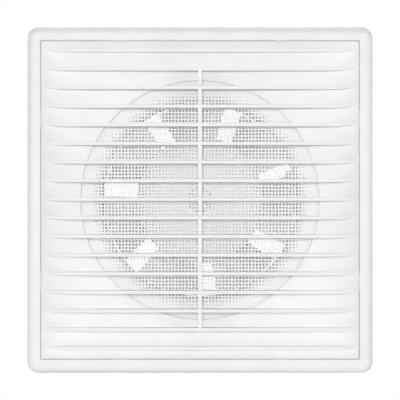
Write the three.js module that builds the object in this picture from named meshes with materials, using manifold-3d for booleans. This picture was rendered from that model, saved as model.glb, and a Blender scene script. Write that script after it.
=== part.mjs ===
// A window exhaust fan for a 125 mm duct, as an assembly of its separate pieces, in millimetres.
// The duct axis is Y. The face looks along -Y, Z is up, and the wall plane is y = 0.

import * as THREE from 'three';
import { mergeVertices } from 'three/addons/utils/BufferGeometryUtils.js';
import Module from 'manifold-3d';

const wasm = await Module();
wasm.setup();

// ---------- driving dimensions ----------

// clearances
const FIT = 0.3; // between round or sliding pieces that fit each other
const GROOVE = 0.55; // between the grille and the border round it
const TIP_GAP = 1; // between the blade tips and the shroud
const AIR_GAP = 0.5; // between the rotor core and the stator bore
const CUT = 1; // how far a cutting solid reaches past what it cuts

// facets
const ROUND = 48; // facets round the duct and the screen
const HUB_ROUND = 36; // facets round the impeller's hub
const MOTOR_ROUND = 28; // facets round the motor and its cup
const SMALL_ROUND = 10; // facets round a screw, a boss or a bush
const CORD_ROUND = 6; // facets round the lead
const CORD_STEPS = 38; // steps along the lead

// housing
const TRAY = 21.25; // from the duct to the well's wall
const FACE_DEPTH = 27;
const FACE_CORNER = 5.8;
const FACE_EDGE = 3;
const WALL = 2.2;
const BORDER = 6.75;
const WELL_CORNER = 1;
const LEDGE = 0.65; // the step in the well's wall that the grille's edge covers
const LEDGE_SUNK = 1.6; // from the face's front to the ledge
const PLATE = 2.4;
const GUIDE_HEIGHT = 0.3;
const GUIDE_OFFSET = 42;
const GUIDE_WIDTH_LEVEL = 5;
const GUIDE_WIDTH_UPRIGHT = 9.4;
const CHANNEL_RIBS = 4;
const CHANNEL_RIB = 1.4;
const WALL_HOLE_R = 2.4;
const WALL_HOLE_X = 46;
const WALL_HOLE_INSET = 9.25; // from the well's wall to the hole
const WALL_BOSS_R = 5;
const WALL_BOSS = 2.6;

// duct, inlet ring, funnel and shroud
const DUCT_R = 62;
const DUCT_WALL = 2;
const DUCT_LENGTH = 60;
const DUCT_CHAMFER = 0.8;
const RING_FRONT = 15.6; // how far the inlet ring stands in front of the wall plane
const RING_WIDTH = 4.7;
const RING_LIP = 0.9; // how far the collar flares out at its front edge
const RING_LIP_DEPTH = 2.4;
const FUNNEL_DEPTH = 6.6;
const FUNNEL_STEPS = 3;
const CAVITY = 6.7; // between the shroud and the duct
const SHROUD_WALL = 1.8;
const SHROUD_REAR = 16;

// motor carrier
const ARMS = 3;
const ARM_START = 13; // degrees from +X toward +Z
const ARM_THICK = 3.5;
const ARM_DEPTH = 12;
const FOOT_WIDTH = 9;
const FOOT_THICK = 3;
const CUP_R = 30.2;
const CUP_WALL = 2.3;
const MOTOR_SETBACK = 2.8; // from the motor's rear face to the cup's rim
const CUP_FLOOR = 2;
const CUP_HOLE_R = 6.5;
const COVER_THICK = 2;
const COVER_BOSS_R = 3;
const COVER_BOSS_LENGTH = 14;
const COVER_PAD_LENGTH = 5.3;
const COVER_PAD_WIDTH = 6;
const COVER_VENTS = 6;
const COVER_VENT_R = 2.2;
const COVER_VENT_RING_R = 13;

// impeller
const BLADES = 7;
const HUB_GAP = 1.5; // between the motor's cup and the hub's skirt
const HUB_WALL = 1.6;
const HUB_FRONT = 13; // how far the hub's front stands in front of the wall plane
const HUB_DOME = 4.4;
const HUB_DOME_STEPS = 4;
const HUB_REAR = 11.5;
const HUB_BOSS_R = 5;
const HUB_BOSS_REAR = 1.5;
const NUT_RECESS_R = 6;
const NUT_RECESS_FLARE = 0.6;
const NUT_RECESS_DEPTH = 2.4;
const NUT_R = 4;
const NUT_HEIGHT = 2.2;
const NUT_SIDES = 6;
const BLADE_START = 126.3; // leading edge of the first blade, in degrees from +X toward +Z
const BLADE_SPAN_ROOT = 37.9;
const BLADE_SPAN_TIP = 41.1;
const BLADE_FRONT = 8.6; // how far the leading edges stand in front of the wall plane
const BLADE_REAR = 10.6;
const BLADE_CAMBER = 2.2;
const BLADE_THICK_ROOT = 2;
const BLADE_THICK_TIP = 1.3;
const BLADE_SECTIONS = 4;
const BLADE_STEPS = 5;

// front grille
const DISH_DEPTH = 8.5;
const DISH_EASE = 1.6; // slope of the dish at its outer edge, as a share of its mean slope
const DISH_THICK = 1.8;
const DISH_RIM = 6;
const DISH_EDGE = 1.3; // thickness of the dish's edge in front of the ledge
const DISH_HOLE_GAP = 0.5; // the dish's round hole is this much wider than the duct, on the radius
const DISH_FACETS = 48;
const DISH_STEPS = 4;
const SLATS_EACH_WAY = 8;
const SLAT_MARGIN = 5.26; // from the grille's edge to the middle of the last slat
const SLAT_THICK = 1.7;
const SLAT_DRAFT = 0.041; // how much a slat widens on each side, for each unit of depth
const SLAT_END_GAP = 1.6; // from the grille's edge to a slat's end
const SLAT_RAMP = 8;
const SLAT_PROUD = 1.5;
const SLAT_CROWN = 0.4;
const SLAT_REAR_GAP = 0.6;
const RIB_THICK = 1.8;
const RIB_SETBACK = 0.8;
const LEG_SPREAD = 23.25; // from the well's wall to the leg's middle, across the face
const LEG_WIDTH = 8;
const LEG_THICK = 2;
const LEG_INSET = 4.3; // from the well's wall to the leg
const LEG_END_GAP = 1.6;
const LEG_GUIDE = 1.4;
const LEG_GUIDE_DEPTH = 12;

// insect screen
const SCREEN_INSET = 1.2; // how much smaller the screen is than the duct, on the radius
const SCREEN_THICK = 0.5;
const MESH_PITCH = 9.8;
const MESH_STRAND = 1.6;
const SCREEN_RIM = 1.6;

// motor
const SHAFT_R = 1.6;
const SHAFT_FRONT = 12.6; // how far the shaft reaches in front of the wall plane
const SHAFT_REAR_GAP = 0.6; // from the shaft's end to the motor's rear face
const BRACKET_THICK = 1.6;
const BRACKET_WINDOW_R = 4.4;
const BRACKET_WINDOW_RING_R = 14;
const POST_LENGTH = 7;
const POST_R = 2.3;
const POST_INSET = 2.6; // from the motor's outside to a post's middle
const BUSH_R = 3.6;
const BUSH_BOSS_R = 6;
const BUSH_BOSS_LENGTH = 4;
const STACK = 18;
const YOKE_WIDTH = 5.2;
const POLES = 4;
const POLE_NECK = 9;
const POLE_SHOE = 2;
const POLE_SHOE_SPAN = 68;
const STATOR_BORE_R = 11;
const COIL_THICK = 3;
const COIL_OVERHANG = 5;
const COIL_SHOE_GAP = 0.6;
const COIL_YOKE_GAP = 1.8;
const COIL_CORNER = 2;
const COIL_HOLE_CORNER = 0.5;
const WASHER_R = 3.4;
const END_RING = 1.2;

// small screws
const SCREW_R = 1.1;
const SCREW_HEAD_R = 2.2;
const SCREW_HEAD = 1.6;
const SCREW_LENGTH = 8;
const SCREW_SLOT = 0.6; // width of a slot

// wiring
const WIRING_INSET = 10.75; // from the well's wall to the middle of the wiring
const BLOCK_INSET = 26.25; // from the well's lower wall to the middle of the terminal block
const BLOCK_WIDTH = 15;
const BLOCK_LENGTH = 18;
const BLOCK_HEIGHT = 10;
const BLOCK_PAD = 2.6;
const BLOCK_SINK = 4;
const BLOCK_GRIP = 3.2; // how deep its screw bites
const TERMINAL_PITCH = 8;
const TERMINAL_OFFSET = 5.4; // of a terminal's screws from the block's middle, along Z
const TERMINAL_SCREW_R = 1.6;
const TERMINAL_SCREW_LENGTH = 4;
const TERMINAL_SLOT = 0.6; // depth of its slot
const TERMINAL_SINK = 0.6; // how far its face lies below the block's
const WIRE_HOLE_R = 1.5;
const CLAMP_ABOVE = 21; // from the middle of the terminal block up to the clamp
const CLAMP_SPACING = 13;
const CLAMP_WIDTH = 5.2;
const CLAMP_THICK = 2.4;
const CLAMP_GROOVE_R = 3.6;
const CLAMP_ARCH = 1.4;
const CLAMP_GRIP = 4.6; // how deep a screw bites
const CLAMP_BOSS_R = 2.6;
const CLAMP_BOSS = 5.6;
const GROMMET_ABOVE = 17; // from the clamp up to the grommet
const GROMMET_R = 5;
const GROMMET_FLANGE_R = 7;
const GROMMET_FLANGE = 2;
const GROMMET_CHAMFER = 0.6;
const GROMMET_BORE_R = 3.2;
const LEAD_R = 1.4;
const LEAD_ARM = 2; // the arm that carries the lead, counted from the first
const LEAD_SIDE = 7.4; // how far beside the arm the lead goes forward to the tray
const LEAD_HOLE_FRONT = 8; // how far in front of the wall plane the lead leaves the duct's collar

// ---------- sizes worked out from them ----------

const WELL_HALF = DUCT_R + TRAY;
const FACE_HALF = WELL_HALF + BORDER;
const LEDGE_HALF = WELL_HALF - LEDGE;
const LEDGE_FRONT = LEDGE_SUNK - FACE_DEPTH;
const GRILLE_HALF = WELL_HALF - GROOVE;
const RIM_HALF = LEDGE_HALF - FIT;
const DUCT_INNER_R = DUCT_R - DUCT_WALL;
const RING_INNER_R = DUCT_R - RING_WIDTH;
const SHROUD_OUTER_R = DUCT_INNER_R - CAVITY;
const SHROUD_R = SHROUD_OUTER_R - SHROUD_WALL;
const TIP_R = SHROUD_R - TIP_GAP;
const CAVITY_R = (SHROUD_OUTER_R + DUCT_INNER_R) / 2;
const CUP_INNER_R = CUP_R - CUP_WALL;
const DISH_HOLE_R = DUCT_R + DISH_HOLE_GAP;
const SLAT_PITCH = (GRILLE_HALF - SLAT_MARGIN) / SLATS_EACH_WAY;
const SCREEN_R = DUCT_R - SCREEN_INSET;
const SCREEN_REAR = -RING_FRONT - FIT;
const SCREEN_FRONT = SCREEN_REAR - SCREEN_THICK;
const SLAT_REAR = SCREEN_FRONT - SLAT_REAR_GAP;
const MOTOR_R = CUP_INNER_R - FIT;
const STACK_FRONT = CUP_FLOOR + BRACKET_THICK + POST_LENGTH;
const STACK_REAR = STACK_FRONT + STACK;
const MOTOR_REAR = STACK_REAR + POST_LENGTH + BRACKET_THICK;
const CUP_DEPTH = MOTOR_REAR + MOTOR_SETBACK;
const YOKE_INNER_R = MOTOR_R - YOKE_WIDTH;
const POST_RING_R = MOTOR_R - POST_INSET;
const COIL_INNER_R = STATOR_BORE_R + POLE_SHOE + COIL_SHOE_GAP;
const COIL_OUTER_R = YOKE_INNER_R - COIL_YOKE_GAP;
const HUB_R = CUP_R + HUB_GAP + HUB_WALL;
const ROTOR_R = STATOR_BORE_R - AIR_GAP;
const WIRING_X = WIRING_INSET - WELL_HALF;
const BLOCK_Z = BLOCK_INSET - WELL_HALF;
const CLAMP_Z = BLOCK_Z + CLAMP_ABOVE;
const GROMMET_Z = CLAMP_Z + GROMMET_ABOVE;
const BLOCK_REAR = -PLATE - BLOCK_PAD;
const BLOCK_FRONT = BLOCK_REAR - BLOCK_HEIGHT;
const CLAMP_REAR = -PLATE - CLAMP_BOSS;
const SCREW_HOLE_R = SCREW_R + FIT;
const LEAD_HOLE_R = LEAD_R + 2 * FIT;

// ---------- shaping tools ----------

function signedVolume(positions, triangles) {
  const a = new THREE.Vector3();
  const b = new THREE.Vector3();
  const c = new THREE.Vector3();
  let sum = 0;
  for (let i = 0; i < triangles.length; i += 3) {
    a.fromArray(positions, triangles[i] * 3);
    b.fromArray(positions, triangles[i + 1] * 3);
    c.fromArray(positions, triangles[i + 2] * 3);
    sum += a.dot(b.cross(c)) / 6;
  }
  return sum;
}

// A closed geometry as a solid whose faces point out.
function solidOf(geometry) {
  const bare = geometry.clone();
  bare.deleteAttribute('normal');
  bare.deleteAttribute('uv');
  const merged = mergeVertices(bare, 1e-4);
  const index = merged.index.array;
  const kept = [];
  for (let i = 0; i < index.length; i += 3) {
    const [a, b, c] = [index[i], index[i + 1], index[i + 2]];
    if (a !== b && b !== c && c !== a) {
      kept.push(a, b, c);
    }
  }
  const vertProperties = new Float32Array(merged.attributes.position.array);
  if (signedVolume(vertProperties, kept) < 0) {
    kept.reverse();
  }
  const triVerts = new Uint32Array(kept);
  return new wasm.Manifold(new wasm.Mesh({ numProp: 3, vertProperties, triVerts }));
}

function geometryOf(solid) {
  const { numProp, vertProperties, triVerts } = solid.getMesh();
  const positions = [];
  for (let i = 0; i < vertProperties.length; i += numProp) {
    positions.push(vertProperties[i], vertProperties[i + 1], vertProperties[i + 2]);
  }
  const indexed = new THREE.BufferGeometry();
  indexed.setAttribute('position', new THREE.Float32BufferAttribute(positions, 3));
  indexed.setIndex([...triVerts]);
  const geometry = indexed.toNonIndexed();
  geometry.computeVertexNormals();
  return geometry;
}

const joined = (...solids) => solids.reduce((sum, solid) => sum.add(solid));
const without = (solid, ...cuts) => cuts.reduce((rest, cut) => rest.subtract(cut), solid);
const radians = (degrees) => THREE.MathUtils.degToRad(degrees);

// A point at a radius and an angle from +X toward +Z.
const polar = (radius, degrees, y = 0) =>
  new THREE.Vector3(radius * Math.cos(radians(degrees)), y, radius * Math.sin(radians(degrees)));

function box(x, y, z) {
  const geometry = new THREE.BoxGeometry(x[1] - x[0], y[1] - y[0], z[1] - z[0]);
  geometry.translate((x[0] + x[1]) / 2, (y[0] + y[1]) / 2, (z[0] + z[1]) / 2);
  return solidOf(geometry);
}

// A box that lies along +X and is then turned about Y to an angle from +X toward +Z.
function spoke(radii, y, width, degrees) {
  const geometry = new THREE.BoxGeometry(radii[1] - radii[0], y[1] - y[0], width);
  geometry.translate((radii[0] + radii[1]) / 2, (y[0] + y[1]) / 2, 0);
  geometry.rotateY(-radians(degrees));
  return solidOf(geometry);
}

function rod(radius, y, x = 0, z = 0, facets = SMALL_ROUND) {
  const geometry = new THREE.CylinderGeometry(radius, radius, y[1] - y[0], facets);
  geometry.translate(x, (y[0] + y[1]) / 2, z);
  return solidOf(geometry);
}

// A profile of [radius, y] points revolved about Y. It closes on itself, or starts and ends on the axis.
function turned(profile, facets = ROUND) {
  const points = profile.map(([radius, y]) => new THREE.Vector2(radius, y));
  const closesOnAxis = profile[0][0] === 0;
  if (!closesOnAxis) {
    points.push(points[0].clone());
  }
  return solidOf(new THREE.LatheGeometry(points, facets));
}

const tube = (outer, inner, y, facets = ROUND) =>
  turned([[outer, y[0]], [outer, y[1]], [inner, y[1]], [inner, y[0]]], facets);

// An outline in X and Z, extruded along Y.
function prism(shape, y, curveSegments = 4) {
  const depth = y[1] - y[0];
  const geometry = new THREE.ExtrudeGeometry(shape, { depth, bevelEnabled: false, curveSegments });
  geometry.rotateX(Math.PI / 2);
  geometry.translate(0, y[1], 0);
  return solidOf(geometry);
}

function roundedRectangle(halfWidth, halfHeight, corner) {
  const shape = new THREE.Shape();
  const x = halfWidth - corner;
  const y = halfHeight - corner;
  shape.absarc(x, y, corner, 0, Math.PI / 2);
  shape.absarc(-x, y, corner, Math.PI / 2, Math.PI);
  shape.absarc(-x, -y, corner, Math.PI, 1.5 * Math.PI);
  shape.absarc(x, -y, corner, 1.5 * Math.PI, 2 * Math.PI);
  shape.closePath();
  return shape;
}

const square = (half, corner) => roundedRectangle(half, half, corner);

// Rings of equally many points, skinned in order. With no caps, the last ring joins the first.
function skinned(rings, capped) {
  const count = rings[0].length;
  const positions = rings.flat().flatMap((point) => point.toArray());
  const triangles = [];
  const joints = capped ? rings.length - 1 : rings.length;
  for (let i = 0; i < joints; i++) {
    const here = i * count;
    const next = ((i + 1) % rings.length) * count;
    for (let j = 0; j < count; j++) {
      const k = (j + 1) % count;
      triangles.push(here + j, here + k, next + k, here + j, next + k, next + j);
    }
  }
  if (capped) {
    addCap(positions, triangles, rings[0], 0, true);
    addCap(positions, triangles, rings[rings.length - 1], (rings.length - 1) * count, false);
  }
  const geometry = new THREE.BufferGeometry();
  geometry.setAttribute('position', new THREE.Float32BufferAttribute(positions, 3));
  geometry.setIndex(triangles);
  return solidOf(geometry);
}

function addCap(positions, triangles, ring, first, flipped) {
  const centre = new THREE.Vector3();
  ring.forEach((point) => centre.add(point));
  centre.divideScalar(ring.length);
  const middle = positions.length / 3;
  positions.push(...centre.toArray());
  for (let j = 0; j < ring.length; j++) {
    const k = (j + 1) % ring.length;
    if (flipped) {
      triangles.push(middle, first + k, first + j);
    } else {
      triangles.push(middle, first + j, first + k);
    }
  }
}

// A rounded rectangle with a hole of its own, extruded along Z.
function frame(outer, hole, depth) {
  outer.holes.push(hole);
  return new THREE.ExtrudeGeometry(outer, { depth, bevelEnabled: false, curveSegments: 2 });
}

// A ring's sector, extruded along Y, with its middle at an angle from +X toward +Z.
function sector(inner, outer, span, y, degrees) {
  const start = radians(degrees - span / 2);
  const end = radians(degrees + span / 2);
  const shape = new THREE.Shape();
  shape.absarc(0, 0, outer, start, end, false);
  shape.absarc(0, 0, inner, end, start, true);
  shape.closePath();
  return prism(shape, y, 3);
}

// A rod along an arm: from one radius to another, beside the arm's middle by side, at an angle.
function spokeRod(radius, radii, y, side, degrees) {
  const geometry = new THREE.CylinderGeometry(radius, radius, radii[1] - radii[0], SMALL_ROUND);
  geometry.rotateZ(Math.PI / 2);
  geometry.translate((radii[0] + radii[1]) / 2, y, side);
  geometry.rotateY(-radians(degrees));
  return solidOf(geometry);
}

// A rod along Z.
function uprightRod(radius, x, y, z) {
  const geometry = new THREE.CylinderGeometry(radius, radius, z[1] - z[0], SMALL_ROUND);
  geometry.rotateX(Math.PI / 2);
  geometry.translate(x, y, (z[0] + z[1]) / 2);
  return solidOf(geometry);
}

// A slotted pan-head screw along Y. Its head's underside is at y = 0, and its shank runs to +Y.
function panScrew(length) {
  const head = rod(SCREW_HEAD_R, [-SCREW_HEAD, 0]);
  const shank = rod(SCREW_R, [-SCREW_HEAD / 2, length]);
  const reach = SCREW_HEAD_R + CUT;
  const slot = box([-reach, reach], [-SCREW_HEAD - CUT, -SCREW_HEAD / 2], [-SCREW_SLOT / 2, SCREW_SLOT / 2]);
  return without(joined(head, shank), slot);
}

// Every turn of a pattern of copies round the duct axis, in degrees.
const around = (count, first = 0) => Array.from({ length: count }, (_, i) => first + (i * 360) / count);
const signs = [-1, 1];

// ---------- housing ----------

// The outer block of the face: a rounded square with a rounded front edge, cut off at the wall plane.
function faceBlock() {
  const geometry = new THREE.ExtrudeGeometry(square(FACE_HALF, FACE_CORNER), {
    depth: FACE_DEPTH,
    bevelThickness: FACE_EDGE,
    bevelSize: FACE_EDGE,
    bevelOffset: -FACE_EDGE,
    bevelSegments: 3,
    curveSegments: 4,
  });
  geometry.rotateX(Math.PI / 2);
  geometry.translate(0, FACE_EDGE, 0);
  const across = [-FACE_HALF - CUT, FACE_HALF + CUT];
  return without(solidOf(geometry), box(across, [0, FACE_DEPTH], across));
}

// The hollow between the outer wall and the well's wall, open at the rear, with stiffening ribs across it.
function channel() {
  const outer = square(FACE_HALF - WALL, FACE_CORNER - WALL);
  const inner = square(WELL_HALF + WALL, WELL_CORNER + WALL);
  const ring = without(prism(outer, [WALL - FACE_DEPTH, CUT]), prism(inner, [-FACE_DEPTH, 2 * CUT]));
  const ribs = [];
  const pitch = (2 * WELL_HALF) / (CHANNEL_RIBS + 1);
  for (let i = 1; i <= CHANNEL_RIBS; i++) {
    const middle = -WELL_HALF + i * pitch;
    const along = [middle - CHANNEL_RIB / 2, middle + CHANNEL_RIB / 2];
    for (const sign of signs) {
      const across = [sign * WELL_HALF, sign * FACE_HALF].sort((a, b) => a - b);
      ribs.push(box(along, [-FACE_DEPTH, -PLATE], across));
      ribs.push(box(across, [-FACE_DEPTH, -PLATE], along));
    }
  }
  return without(ring, ...ribs);
}

// The duct with its collar, inlet ring, bell-mouthed funnel and shroud, as one revolved wall.
function duct() {
  const profile = [
    [DUCT_R, DUCT_LENGTH - DUCT_CHAMFER],
    [DUCT_R, RING_LIP_DEPTH - RING_FRONT],
    [DUCT_R + RING_LIP, -RING_FRONT],
  ];
  for (let i = 0; i <= FUNNEL_STEPS; i++) {
    const turn = ((i / FUNNEL_STEPS) * Math.PI) / 2;
    const radius = SHROUD_R + (RING_INNER_R - SHROUD_R) * (1 - Math.sin(turn));
    profile.push([radius, -RING_FRONT + FUNNEL_DEPTH * (1 - Math.cos(turn))]);
  }
  profile.push([SHROUD_R, SHROUD_REAR]);
  profile.push([SHROUD_OUTER_R, SHROUD_REAR]);
  profile.push([SHROUD_OUTER_R, FUNNEL_DEPTH - RING_FRONT]);
  profile.push([DUCT_INNER_R, DUCT_WALL - RING_FRONT]);
  profile.push([DUCT_INNER_R, DUCT_LENGTH]);
  profile.push([DUCT_R - DUCT_CHAMFER, DUCT_LENGTH]);
  return turned(profile);
}

// The low guides on the well's wall that centre the grille.
function grilleGuides() {
  const depth = [-FACE_DEPTH, LEDGE_FRONT + CUT];
  const guides = [];
  for (const side of signs) {
    const across = [side * (WELL_HALF - GUIDE_HEIGHT), side * (WELL_HALF + WALL / 2)].sort((a, b) => a - b);
    for (const end of signs) {
      const middle = end * GUIDE_OFFSET;
      const level = [middle - GUIDE_WIDTH_LEVEL / 2, middle + GUIDE_WIDTH_LEVEL / 2];
      const upright = [middle - GUIDE_WIDTH_UPRIGHT / 2, middle + GUIDE_WIDTH_UPRIGHT / 2];
      guides.push(box(level, depth, across));
      guides.push(box(across, depth, upright));
    }
  }
  return guides;
}

const legPlaces = signs.flatMap((x) => signs.map((z) => [
  x * (WELL_HALF - LEG_SPREAD),
  z * (WELL_HALF - LEG_INSET),
  z,
]));

// A socket for one of the grille's legs, joined to the well's wall.
function legSocket([x, z, side]) {
  const pocketX = LEG_WIDTH / 2 + FIT;
  const pocketZ = LEG_THICK / 2 + FIT;
  const depth = [-PLATE - LEG_GUIDE_DEPTH, -PLATE];
  const across = [z - side * (pocketZ + LEG_GUIDE), side * (WELL_HALF + WALL / 2)].sort((a, b) => a - b);
  const block = box([x - pocketX - LEG_GUIDE, x + pocketX + LEG_GUIDE], [depth[0], -PLATE / 2], across);
  const pocket = box([x - pocketX, x + pocketX], [depth[0] - CUT, depth[1]], [z - pocketZ, z + pocketZ]);
  return without(block, pocket);
}

const armAngles = around(ARMS, ARM_START);
const footBossLength = SCREW_LENGTH + FIT;

function housing() {
  const opening = prism(square(WELL_HALF, WELL_CORNER), [-FACE_DEPTH - CUT, LEDGE_FRONT]);
  const well = prism(square(LEDGE_HALF, WELL_CORNER), [-FACE_DEPTH, -PLATE]);
  const bore = rod(DUCT_INNER_R, [-FACE_DEPTH, DUCT_LENGTH], 0, 0, ROUND);
  let body = without(faceBlock(), channel(), opening, well, bore);
  body = joined(body, duct(), ...grilleGuides(), ...legPlaces.map(legSocket));

  const holes = [];
  for (const x of signs) {
    for (const z of signs) {
      const place = [x * WALL_HOLE_X, z * (WELL_HALF - WALL_HOLE_INSET)];
      body = body.add(rod(WALL_BOSS_R, [-PLATE - WALL_BOSS, -PLATE / 2], ...place));
      holes.push(rod(WALL_HOLE_R, [-PLATE - WALL_BOSS - CUT, CUT], ...place));
    }
  }

  const bossReach = [SHROUD_OUTER_R - SHROUD_WALL / 2, DUCT_INNER_R + DUCT_WALL / 2];
  for (const angle of armAngles) {
    body = body.add(spoke(bossReach, [SHROUD_REAR - footBossLength - CUT, SHROUD_REAR], FOOT_WIDTH, angle));
    const { x, z } = polar(CAVITY_R, angle);
    holes.push(rod(SCREW_HOLE_R, [SHROUD_REAR - footBossLength, SHROUD_REAR + CUT], x, z));
  }

  body = body.add(box([WIRING_X - BLOCK_WIDTH / 2, WIRING_X + BLOCK_WIDTH / 2],
    [BLOCK_REAR, -PLATE / 2],
    [BLOCK_Z - BLOCK_LENGTH / 2, BLOCK_Z + BLOCK_LENGTH / 2]));
  holes.push(rod(SCREW_HOLE_R, [BLOCK_REAR - CUT, BLOCK_REAR + BLOCK_GRIP + FIT], WIRING_X, BLOCK_Z));

  for (const side of signs) {
    const x = WIRING_X + (side * CLAMP_SPACING) / 2;
    body = body.add(rod(CLAMP_BOSS_R, [CLAMP_REAR, -PLATE / 2], x, CLAMP_Z));
    holes.push(rod(SCREW_HOLE_R, [CLAMP_REAR - CUT, CLAMP_REAR + CLAMP_GRIP + FIT], x, CLAMP_Z));
  }

  holes.push(rod(GROMMET_R + FIT, [-PLATE - CUT, CUT], WIRING_X, GROMMET_Z));
  const leadReach = [CAVITY_R, DUCT_R + CUT];
  holes.push(spokeRod(LEAD_HOLE_R, leadReach, -LEAD_HOLE_FRONT, -LEAD_SIDE, armAngles[LEAD_ARM]));
  return without(body, ...holes);
}

// ---------- motor carrier ----------

const footOuterR = DUCT_INNER_R - FIT;
const leadRear = STACK_REAR + POST_LENGTH / 2; // where the lead leaves the motor, behind the stack
const armRear = SHROUD_REAR + ARM_DEPTH;
const armEnd = CAVITY_R - SCREW_HEAD_R - CUT;
const coverAngles = around(ARMS, ARM_START + 180 / ARMS);

// An arm's web, tapered to its foot.
function armWeb(degrees) {
  const shape = new THREE.Shape();
  const start = CUP_R - CUP_WALL / 2;
  shape.moveTo(start, SHROUD_REAR);
  shape.lineTo(armEnd, SHROUD_REAR);
  shape.lineTo(armEnd, SHROUD_REAR + FOOT_THICK);
  shape.lineTo(armEnd - FOOT_THICK, armRear);
  shape.lineTo(start, armRear);
  shape.closePath();
  const geometry = new THREE.ExtrudeGeometry(shape, { depth: ARM_THICK, bevelEnabled: false });
  geometry.translate(0, 0, -ARM_THICK / 2);
  geometry.rotateY(-radians(degrees));
  return solidOf(geometry);
}

function motorCarrier() {
  let body = turned([
    [CUP_HOLE_R, 0],
    [CUP_R, 0],
    [CUP_R, CUP_DEPTH],
    [CUP_INNER_R, CUP_DEPTH],
    [CUP_INNER_R, CUP_FLOOR],
    [CUP_HOLE_R, CUP_FLOOR],
  ], MOTOR_ROUND);
  const holes = [];
  const footReach = [armEnd - 2 * FOOT_THICK, footOuterR];
  for (const angle of armAngles) {
    const foot = spoke(footReach, [SHROUD_REAR, SHROUD_REAR + FOOT_THICK], FOOT_WIDTH, angle);
    const { x, z } = polar(CAVITY_R, angle);
    body = joined(body, armWeb(angle), foot);
    holes.push(rod(SCREW_HOLE_R, [SHROUD_REAR - CUT, SHROUD_REAR + FOOT_THICK + CUT], x, z));
  }
  for (const angle of coverAngles) {
    const { x, z } = polar(CUP_R, angle);
    const boss = rod(COVER_BOSS_R, [CUP_DEPTH - COVER_BOSS_LENGTH, CUP_DEPTH], x, z);
    body = body.add(without(boss, rod(CUP_INNER_R, [0, CUP_DEPTH + CUT], 0, 0, MOTOR_ROUND)));
    holes.push(rod(SCREW_HOLE_R, [CUP_DEPTH - SCREW_LENGTH, CUP_DEPTH + CUT], x, z));
  }
  const leadReach = [CUP_INNER_R - CUT, CUP_R + CUT];
  holes.push(spokeRod(LEAD_HOLE_R, leadReach, leadRear, 0, armAngles[LEAD_ARM]));
  return without(body, ...holes);
}

function motorCover() {
  let body = rod(CUP_R, [CUP_DEPTH, CUP_DEPTH + COVER_THICK], 0, 0, MOTOR_ROUND);
  const holes = [];
  for (const angle of coverAngles) {
    const { x, z } = polar(CUP_R, angle);
    const ear = rod(COVER_BOSS_R, [CUP_DEPTH, CUP_DEPTH + COVER_THICK], x, z);
    const padReach = [MOTOR_R - FIT - COVER_PAD_LENGTH, MOTOR_R - FIT];
    const pad = spoke(padReach, [MOTOR_REAR, CUP_DEPTH + COVER_THICK / 2], COVER_PAD_WIDTH, angle);
    body = joined(body, ear, pad);
    holes.push(rod(SCREW_HOLE_R, [MOTOR_REAR - CUT, CUP_DEPTH + COVER_THICK + CUT], x, z));
  }
  for (const angle of around(COVER_VENTS)) {
    const { x, z } = polar(COVER_VENT_RING_R, angle);
    holes.push(rod(COVER_VENT_R, [CUP_DEPTH - CUT, CUP_DEPTH + COVER_THICK + CUT], x, z));
  }
  return without(body, ...holes);
}

// ---------- front grille ----------

// Points round a square of the given half side, or round a circle, at equal angles.
const directions = Array.from({ length: DISH_FACETS }, (_, i) => (i * 2 * Math.PI) / DISH_FACETS);
const squareReach = (half, turn) => half / Math.max(Math.abs(Math.cos(turn)), Math.abs(Math.sin(turn)));
const ringPoint = (radius, turn, y) => new THREE.Vector3(radius * Math.cos(turn), y, radius * Math.sin(turn));
const squareRing = (half, y) => directions.map((turn) => ringPoint(squareReach(half, turn), turn, y));
const circleRing = (radius, y) => directions.map((turn) => ringPoint(radius, turn, y));

// The dish's height in Y, a share of the way from the square edge to the round hole.
const dishHeight = (share) => DISH_DEPTH * share * (DISH_EASE - (DISH_EASE - 1) * share) - FACE_DEPTH;

// The dish's surface at that share, sunk by the given depth.
function dishRing(share, sunk) {
  return directions.map((turn) => {
    const radius = THREE.MathUtils.lerp(squareReach(GRILLE_HALF, turn), DISH_HOLE_R, share);
    return ringPoint(radius, turn, dishHeight(share) + sunk);
  });
}

function dishShell() {
  const rings = [];
  for (let i = 0; i <= DISH_STEPS; i++) {
    rings.push(dishRing(i / DISH_STEPS, 0));
  }
  for (let i = DISH_STEPS; i > 0; i--) {
    rings.push(dishRing(i / DISH_STEPS, DISH_THICK));
  }
  const rimInner = RIM_HALF - DISH_THICK;
  const rimShare = (GRILLE_HALF - rimInner) / (GRILLE_HALF - DISH_HOLE_R);
  rings.push(squareRing(rimInner, dishHeight(rimShare) + DISH_THICK));
  rings.push(squareRing(rimInner, DISH_RIM - FACE_DEPTH));
  rings.push(squareRing(RIM_HALF, DISH_RIM - FACE_DEPTH));
  rings.push(squareRing(RIM_HALF, DISH_EDGE - FACE_DEPTH));
  rings.push(squareRing(GRILLE_HALF, DISH_EDGE - FACE_DEPTH));
  return skinned(rings, false);
}

// The space in front of the dish's middle surface and of the slats' rear edges.
function slatSpace() {
  const rings = [squareRing(GRILLE_HALF, -FACE_DEPTH - 2 * SLAT_PROUD - CUT)];
  for (let i = 0; i <= DISH_STEPS; i++) {
    rings.push(dishRing(i / DISH_STEPS, DISH_THICK / 2));
  }
  rings.push(circleRing(DISH_HOLE_R - DISH_HOLE_GAP, SLAT_REAR));
  return skinned(rings, true);
}

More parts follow.
